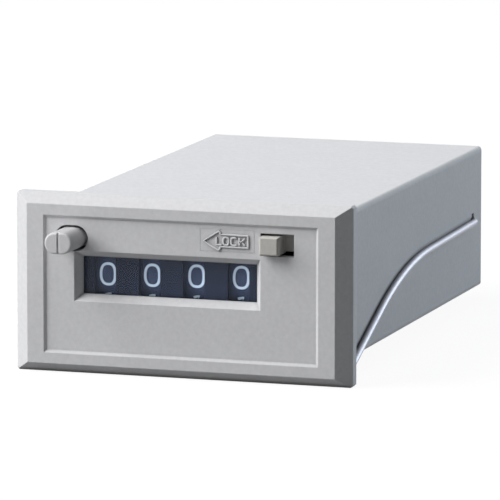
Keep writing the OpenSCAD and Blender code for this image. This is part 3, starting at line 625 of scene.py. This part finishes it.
def clear_pane(name):
    """Clear lens that lets lamp light through to the wheels, with faint wiping marks."""
    material, tree, shader, out = start_material(name)
    shader.inputs["Base Color"].default_value = (0.93, 0.96, 1.0, 1)
    shader.inputs["Transmission Weight"].default_value = 1.0
    shader.inputs["IOR"].default_value = 1.2
    skin = place_group(
        tree, moulded_skin, Grain_Scale=500.0, Gloss_Start=0.03, Gloss_Spread=0.03)
    tree.links.new(skin.outputs["Roughness"], shader.inputs["Roughness"])
    path = tree.nodes.new("ShaderNodeLightPath")
    through = add_node(tree, "ShaderNodeBsdfTransparent", Color=(0.93, 0.95, 0.98, 1))
    mix_shaders(
        tree, path.outputs["Is Shadow Ray"], shader.outputs["BSDF"], through.outputs["BSDF"], out)
    return material


def wound_copper(name):
    """Enamelled copper in close turns round the Y axis."""
    material, tree, shader, _ = start_material(name)
    place = tree.nodes.new("ShaderNodeTexCoord").outputs["Object"]
    turns = add_node(tree, "ShaderNodeTexWave", Scale=420.0, Distortion=0.4, Detail=1.0)
    turns.bands_direction = "Y"
    tree.links.new(place, turns.inputs["Vector"])
    ramp = tree.nodes.new("ShaderNodeValToRGB")
    ramp.color_ramp.elements[0].color = (0.12, 0.035, 0.015, 1)
    ramp.color_ramp.elements[1].color = (0.46, 0.17, 0.07, 1)
    tree.links.new(turns.outputs["Fac"], ramp.inputs["Fac"])
    tree.links.new(ramp.outputs["Color"], shader.inputs["Base Color"])
    shader.inputs["Metallic"].default_value = 0.6
    shader.inputs["Roughness"].default_value = 0.35
    normal = bump(tree, turns.outputs["Fac"], None, strength=0.6, depth=TURN_DEPTH)
    tree.links.new(normal, shader.inputs["Normal"])
    return material


def painted_figure(name):
    """Pale blue white paint of the figures, slightly uneven."""
    material, tree, shader, _ = start_material(name)
    skin = place_group(
        tree, moulded_skin, Base_Colour=(0.6, 0.7, 0.8, 1), Cloud_Amount=0.08, Cloud_Scale=900.0,
        Grain_Amount=0.06, Gloss_Start=0.55,
    )
    tree.links.new(skin.outputs["Colour"], shader.inputs["Base Color"])
    tree.links.new(skin.outputs["Roughness"], shader.inputs["Roughness"])
    normal = bump(tree, skin.outputs["Height"], None, strength=0.2, depth=GRAIN_DEPTH)
    tree.links.new(normal, shader.inputs["Normal"])
    return material


# Strokes of figures and letters as (points, closed), in a box one unit wide and high about 0

def oval(cx, cz, rx, rz, start, stop, square=2.0):
    """Points along an oval from one angle to another. A higher square makes it more like a box."""
    steps = max(OVAL_FEWEST_STEPS, int(abs(stop - start) / OVAL_STEP))
    points = []
    for i in range(steps + 1):
        a = math.radians(start + (stop - start) * i / steps)
        c, s = math.cos(a), math.sin(a)
        points.append((
            cx + rx * math.copysign(abs(c) ** (2 / square), c),
            cz + rz * math.copysign(abs(s) ** (2 / square), s),
        ))
    return points


def half_turned(strokes):
    """Strokes turned upside down."""
    return [([(-x, -z) for x, z in points], closed) for points, closed in strokes]


FIGURE_STROKES = {
    0: [(oval(0, 0, 0.5, 0.5, OVAL_TOP, OVAL_CLOSED, 2.5), True)],
    1: [([(-0.3, 0.51), (-0.1, 0.55), (0.08, 0.59), (0.08, 0.09), (0.08, -0.41)], False)],
    2: [(oval(0, 0.2, 0.48, 0.3, 165, -38)
         + [(-0.18, -0.26), (-0.5, -0.5), (0, -0.5), (0.5, -0.5)], False)],
    3: [(oval(0, 0.26, 0.44, 0.24, 150, -90), False),
        (oval(0, -0.24, 0.5, 0.26, 90, -150), False)],
    4: [([(0.22, -0.5), (0.22, 0), (0.22, 0.5), (-0.14, 0.15), (-0.5, -0.22), (0, -0.22),
          (0.5, -0.22)], False)],
    5: [([(0.42, 0.5), (0, 0.5), (-0.38, 0.5), (-0.42, 0.26), (-0.44, 0.03)], False),
        (oval(0, -0.17, 0.5, 0.33, 142, -150), False)],
    6: [(oval(0, -0.18, 0.5, 0.32, 0, OVAL_CLOSED - OVAL_TOP), True),
        (oval(0.36, -0.18, 0.86, 0.68, 178, 92), False)],
    7: [([(-0.5, 0.5), (0, 0.5), (0.5, 0.5), (0.2, 0.02), (-0.12, -0.5)], False)],
    8: [(oval(0, 0.26, 0.42, 0.24, OVAL_TOP, OVAL_CLOSED), True),
        (oval(0, -0.24, 0.5, 0.26, OVAL_TOP, OVAL_CLOSED), True)],
}
FIGURE_STROKES[9] = half_turned(FIGURE_STROKES[6])

LETTER_STROKES = {
    "L": [([(-0.5, 0.5), (-0.5, 0), (-0.5, -0.5), (0, -0.5), (0.5, -0.5)], False)],
    "O": [(oval(0, 0, 0.5, 0.5, OVAL_TOP, OVAL_CLOSED, 3.0), True)],
    "C": [(oval(0, 0, 0.55, 0.5, 45, 315, 3.0), False)],
    "K": [([(-0.5, 0.5), (-0.5, 0), (-0.5, -0.5)], False),
          ([(0.5, 0.5), (0, 0.08), (-0.5, -0.12)], False),
          ([(-0.1, 0.05), (0.5, -0.5)], False)],
}


def lay_strokes(strokes, width, height, cx, cz):
    """Strokes scaled to a width and height in millimetres and moved to their centre."""
    return [
        ([(cx + x * width, cz + z * height) for x, z in points], closed)
        for points, closed in strokes
    ]


def line_object(name, strokes):
    """Object of plain edges for strokes in millimetres, flat in X and Y, to start a node tree."""
    points, edges = [], []
    for line, closed in strokes:
        first = len(points)
        points += [(x * MM, z * MM, 0) for x, z in line]
        edges += [(first + i, first + i + 1) for i in range(len(line) - 1)]
        if closed:
            edges.append((len(points) - 1, first))
    return new_object(name, points, edges, [])


# Geometry node trees

def start_tree(name, inputs):
    """Empty geometry tree, one geometry in and out, with inputs as (name, kind, start value)."""
    tree = bpy.data.node_groups.new(name, "GeometryNodeTree")
    tree.interface.new_socket("Geometry", in_out="INPUT", socket_type="NodeSocketGeometry")
    for label, kind, start in inputs:
        socket = tree.interface.new_socket(label, in_out="INPUT", socket_type=kind)
        if start is not None:
            socket.default_value = start
    tree.interface.new_socket("Geometry", in_out="OUTPUT", socket_type="NodeSocketGeometry")
    return tree, tree.nodes.new("NodeGroupInput"), tree.nodes.new("NodeGroupOutput")


def close_tree(tree, given, result, geometry, smooth):
    """Ends a tree: shading, instances made real, then the material."""
    shade = tree.nodes.new("GeometryNodeSetShadeSmooth")
    shade.inputs["Shade Smooth"].default_value = smooth
    real = tree.nodes.new("GeometryNodeRealizeInstances")
    cover = tree.nodes.new("GeometryNodeSetMaterial")
    tree.links.new(geometry, shade.inputs[0])
    tree.links.new(shade.outputs[0], real.inputs[0])
    tree.links.new(real.outputs[0], cover.inputs["Geometry"])
    tree.links.new(given.outputs["Material"], cover.inputs["Material"])
    tree.links.new(cover.outputs[0], result.inputs[0])


def flat_ribbon(tree, given, width, height):
    """Edges made into flat ribbons of a width and a height, lying in the plane of X and Y."""
    lines = tree.nodes.new("GeometryNodeMeshToCurve")
    upright = tree.nodes.new("GeometryNodeSetCurveNormal")
    upright.mode = "Z_UP"
    section = tree.nodes.new("GeometryNodeCurvePrimitiveQuadrilateral")
    ribbon = tree.nodes.new("GeometryNodeCurveToMesh")
    ribbon.inputs["Fill Caps"].default_value = True
    tree.links.new(given.outputs["Geometry"], lines.inputs[0])
    tree.links.new(lines.outputs[0], upright.inputs[0])
    tree.links.new(given.outputs[width], section.inputs["Width"])
    tree.links.new(given.outputs[height], section.inputs["Height"])
    tree.links.new(upright.outputs[0], ribbon.inputs["Curve"])
    tree.links.new(section.outputs[0], ribbon.inputs["Profile Curve"])
    return ribbon.outputs[0]


def split_place(tree):
    """Node with X, Y and Z of each point."""
    place = tree.nodes.new("GeometryNodeInputPosition")
    split = tree.nodes.new("ShaderNodeSeparateXYZ")
    tree.links.new(place.outputs[0], split.inputs[0])
    return split


def join_place(tree, x, y, z):
    """Place made of three sockets."""
    join = tree.nodes.new("ShaderNodeCombineXYZ")
    for axis, value in zip("XYZ", (x, y, z)):
        tree.links.new(value, join.inputs[axis])
    return join.outputs[0]


def move_points(tree, geometry, place):
    """Geometry with its points moved to a place."""
    move = tree.nodes.new("GeometryNodeSetPosition")
    tree.links.new(geometry, move.inputs["Geometry"])
    tree.links.new(place, move.inputs["Position"])
    return move.outputs[0]


def make_figure_ring():
    """Ribbons wrapped round a drum: X stays across it and Y runs up round its front."""
    tree, given, result = start_tree(
        "figure_ring",
        [
            ("Stroke Width", "NodeSocketFloat", FIGURE_STROKE * MM),
            ("Paint Thickness", "NodeSocketFloat", FIGURE_PAINT * MM),
            ("Drum Radius", "NodeSocketFloat", WHEEL_R * MM),
            ("Drum Place", "NodeSocketVector", (0, 0, 0)),
            ("Material", "NodeSocketMaterial", None),
        ],
    )
    ribbon = flat_ribbon(tree, given, "Stroke Width", "Paint Thickness")
    split = split_place(tree)
    angle = math_node(tree, "DIVIDE", split.outputs["Y"], given.outputs["Drum Radius"])
    reach = math_node(tree, "ADD", split.outputs["Z"], given.outputs["Drum Radius"])
    forward = math_node(tree, "MULTIPLY", math_node(tree, "COSINE", angle, 0.0), reach)
    up = math_node(tree, "MULTIPLY", math_node(tree, "SINE", angle, 0.0), reach)
    back = math_node(tree, "MULTIPLY", forward, -1.0)
    round_axis = join_place(tree, split.outputs["X"], back, up)
    on_drum = vector_node(tree, "ADD", round_axis, given.outputs["Drum Place"])
    wrapped = move_points(tree, ribbon, on_drum.outputs[0])
    close_tree(tree, given, result, wrapped, smooth=False)
    return tree


def make_raised_line():
    """Ribbons stood up on the panel: Y becomes the height on the panel and Z stands out of it."""
    tree, given, result = start_tree(
        "raised_line",
        [
            ("Line Width", "NodeSocketFloat", SIGN_LINE_W * MM),
            ("Line Height", "NodeSocketFloat", SIGN_LINE_H * MM),
            ("Panel Y", "NodeSocketFloat", PANEL_Y * MM),
            ("Material", "NodeSocketMaterial", None),
        ],
    )
    ribbon = flat_ribbon(tree, given, "Line Width", "Line Height")
    split = split_place(tree)
    out_of_panel = math_node(tree, "SUBTRACT", given.outputs["Panel Y"], split.outputs["Z"])
    on_panel = join_place(tree, split.outputs["X"], out_of_panel, split.outputs["Y"])
    close_tree(tree, given, result, move_points(tree, ribbon, on_panel), smooth=False)
    return tree


def make_round_wire():
    """Round wire along the edges of the given path."""
    tree, given, result = start_tree(
        "round_wire",
        [
            ("Wire Diameter", "NodeSocketFloat", WIRE_D * MM),
            ("Sides", "NodeSocketInt", WIRE_SIDES),
            ("Material", "NodeSocketMaterial", None),
        ],
    )
    path = tree.nodes.new("GeometryNodeMeshToCurve")
    section = tree.nodes.new("GeometryNodeCurvePrimitiveCircle")
    wire = tree.nodes.new("GeometryNodeCurveToMesh")
    wire.inputs["Fill Caps"].default_value = True
    radius = math_node(tree, "MULTIPLY", given.outputs["Wire Diameter"], 0.5)
    tree.links.new(given.outputs["Geometry"], path.inputs[0])
    tree.links.new(given.outputs["Sides"], section.inputs["Resolution"])
    tree.links.new(radius, section.inputs["Radius"])
    tree.links.new(path.outputs[0], wire.inputs["Curve"])
    tree.links.new(section.outputs[0], wire.inputs["Profile Curve"])
    close_tree(tree, given, result, wire.outputs[0], smooth=True)
    return tree


def grow(piece, tree, **values):
    """Runs a geometry tree on a piece and leaves the result as its plain mesh, faces outwards."""
    modifier = piece.modifiers.new(tree.name, "NODES")
    modifier.node_group = tree
    for item in tree.interface.items_tree:
        label = item.name.replace(" ", "_")
        if item.in_out == "INPUT" and label in values:
            modifier[item.identifier] = values[label]
    ready = piece.evaluated_get(bpy.context.evaluated_depsgraph_get())
    start = piece.data
    mesh = bpy.data.meshes.new_from_object(ready)
    piece.modifiers.remove(modifier)
    piece.data = mesh
    mesh.name = piece.name
    bpy.data.meshes.remove(start)
    shape = bmesh.new()
    shape.from_mesh(mesh)
    bmesh.ops.recalc_face_normals(shape, faces=shape.faces)
    shape.to_mesh(mesh)
    shape.free()


# Pieces

def paint_figures(rank):
    """Figures 0 to 9 painted round one number wheel, with 0 at the front and 1 below it."""
    step = 2 * math.pi * WHEEL_R / FIGURES_ROUND_DRUM
    strokes = []
    for figure in range(FIGURES_ROUND_DRUM):
        strokes += lay_strokes(
            FIGURE_STROKES[figure], FIGURE_W - FIGURE_STROKE, FIGURE_H - FIGURE_STROKE,
            FIGURE_SIDE_SHIFT, FIGURE_RISE[rank] - figure * step,
        )
    piece = line_object("figures_" + rank, strokes)
    place = Vector((WHEEL_XS[rank], WHEEL_AXIS_Y, WHEEL_AXIS_Z)) * MM
    grow(piece, figure_ring, Drum_Place=place, Material=finishes["figure_paint"])
    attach(piece, rank + "_wheel")


def raise_on_panel(name, strokes, width, height, material):
    """Raised lines on the panel."""
    piece = line_object(name, strokes)
    grow(piece, raised_line, Line_Width=width * MM, Line_Height=height * MM, Material=material)
    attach(piece, "case")


def raise_lock_sign():
    """Raised arrow on the panel that shows which way the slider locks, with LOCK inside it."""
    strokes = [(SIGN_ARROW, True)]
    for letter, x in SIGN_LETTER_XS.items():
        strokes += lay_strokes(
            LETTER_STROKES[letter], SIGN_LETTER_W, SIGN_LETTER_H, x, SIGN_LETTER_Z)
    raise_on_panel("lock_sign", strokes, SIGN_LINE_W, SIGN_LINE_H, finishes["sign_plastic"])


def raise_insert_mark():
    """Faint rectangle that the mould's insert leaves round the sign."""
    strokes = [(MARK_OUTLINE, True)]
    raise_on_panel("insert_mark", strokes, MARK_LINE_W, MARK_LINE_H, finishes["case_plastic"])


def arc_steps(start, stop, steps):
    """Angles from start to stop, both included."""
    return [start + (stop - start) * i / steps for i in range(steps + 1)]


def wire_arm():
    """Middle line of the wire's right arm, from the run behind the bezel to its hooked end."""
    turn_z = HOOK_Z - (HOOK_Y - TURN_Y) * math.tan(RUN_SLOPE)
    fall_y = TURN_Y - TURN_R * (math.sin(FALL_SLOPE) - math.sin(RUN_SLOPE))
    fall_z = turn_z - TURN_R * (math.cos(RUN_SLOPE) - math.cos(FALL_SLOPE))
    foot_top_z = FOOT_Z + FOOT_R * (1 - math.cos(FALL_SLOPE))
    foot_top_y = fall_y - (fall_z - foot_top_z) / math.tan(FALL_SLOPE)
    foot_y = foot_top_y - FOOT_R * math.sin(FALL_SLOPE)
    arm = []
    for a in arc_steps(0, math.pi / 2, BEND_STEPS):
        arm.append((
            WIRE_X - CROSS_BEND_R * (1 - math.sin(a)),
            CROSS_RUN_Y + CROSS_BEND_R * (1 - math.cos(a)),
            FOOT_Z,
        ))
    for a in arc_steps(0, FALL_SLOPE, FOOT_STEPS):
        arm.append((WIRE_X, foot_y + FOOT_R * math.sin(a), FOOT_Z + FOOT_R * (1 - math.cos(a))))
    for a in arc_steps(FALL_SLOPE, RUN_SLOPE, TURN_STEPS):
        arm.append((
            WIRE_X,
            TURN_Y + TURN_R * (math.sin(RUN_SLOPE) - math.sin(a)),
            turn_z + TURN_R * (math.cos(a) - math.cos(RUN_SLOPE)),
        ))
    for a in arc_steps(0, math.pi / 2, BEND_STEPS):
        back = HOOK_BEND_R * (1 - math.sin(a))
        arm.append((
            WIRE_X - HOOK_BEND_R * (1 - math.cos(a)),
            HOOK_Y - back * math.cos(RUN_SLOPE),
            HOOK_Z - back * math.sin(RUN_SLOPE),
        ))
    arm.append((HOOK_END_X, HOOK_Y, HOOK_Z))
    return arm


def bend_wire(name, path, diameter, sides):
    """Round steel wire along a path in millimetres, smooth where the solid has flat sides."""
    edges = [(i, i + 1) for i in range(len(path) - 1)]
    piece = new_object(name, [Vector(p) * MM for p in path], edges, [])
    grow(
        piece, round_wire, Wire_Diameter=diameter * MM, Sides=sides,
        Material=finishes["spring_steel"],
    )
    return piece


def bend_mounting_spring():
    """Steel wire that swings on its hooked ends."""
    arm = wire_arm()
    path = [(-x, y, z) for x, y, z in reversed(arm)] + arm
    piece = bend_wire("spring_wire", path, WIRE_D, WIRE_SIDES)
    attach(piece, "mounting_bail")
    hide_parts("mounting_spring")


def coil_path(centre_x, centre_z, radius, front_y, rear_y, turns):
    """Middle line of a coil spring along Y."""
    whole = 2 * math.pi * turns
    return [
        (
            centre_x + radius * math.cos(a),
            front_y + (rear_y - front_y) * a / whole,
            centre_z - radius * math.sin(a),
        )
        for a in arc_steps(0, whole, COIL_STEPS_PER_TURN * turns)
    ]


def wind_reset_spring():
    """Coil behind the button's stop plate, made at one length on the case, though the button's
    travel presses the real spring together.
    """
    path = coil_path(
        BUTTON_ROD_X, BUTTON_ROD_Z, RESET_COIL_R, RESET_SPRING_FRONT_Y + RESET_COIL_END,
        RESET_SPRING_REAR_Y - RESET_COIL_END, RESET_COIL_TURNS,
    )
    piece = bend_wire("reset_coil", path, RESET_COIL_D, COIL_SIDES)
    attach(piece, "case")
    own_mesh(piece)
    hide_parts("reset_spring")


def wind_return_spring():
    """Coil between the fixed post and the armature, made at its length at rest, though the real
    spring stretches when the armature is pulled in.
    """
    path = coil_path(
        POST_X, RETURN_SPRING_Z, RETURN_COIL_R, POST_REAR_Y + RETURN_COIL_END,
        ARMATURE_FRONT_Y - RETURN_COIL_END, RETURN_COIL_TURNS,
    )
    piece = bend_wire("return_coil", path, RETURN_COIL_D, COIL_SIDES)
    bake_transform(piece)
    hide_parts("return_spring")


def dress_nodes():
    """Gives every CAD node its finish."""
    finish_of = {node: finish for finish, nodes in NODES_BY_FINISH.items() for node in nodes}
    for name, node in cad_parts.items():
        node.data.materials.clear()
        node.data.materials.append(finishes[finish_of[name]])


place_camera()
lay_floor()
light_surroundings()
for name, lamp in LAMPS.items():
    hang_lamp(name, **lamp)

moulded_skin = make_moulded_skin()
rubbed_edge = make_worn_highlit_edge()
gap_dust = make_gap_shade()
drawn_metal = make_drawn_metal()

finishes = {name: moulded_plastic(name, **look) for name, look in PLASTICS.items()}
finishes.update({name: bare_metal(name, **look) for name, look in METALS.items()})
finishes["winding_copper"] = wound_copper("winding_copper")
finishes["lens_clear"] = clear_pane("lens_clear")
finishes["figure_paint"] = painted_figure("figure_paint")

figure_ring = make_figure_ring()
raised_line = make_raised_line()
round_wire = make_round_wire()

dress_nodes()
for rank in WHEEL_XS:
    paint_figures(rank)
raise_lock_sign()
raise_insert_mark()
bend_mounting_spring()
wind_reset_spring()
wind_return_spring()

bpy.context.scene.view_settings.view_transform = "Standard"
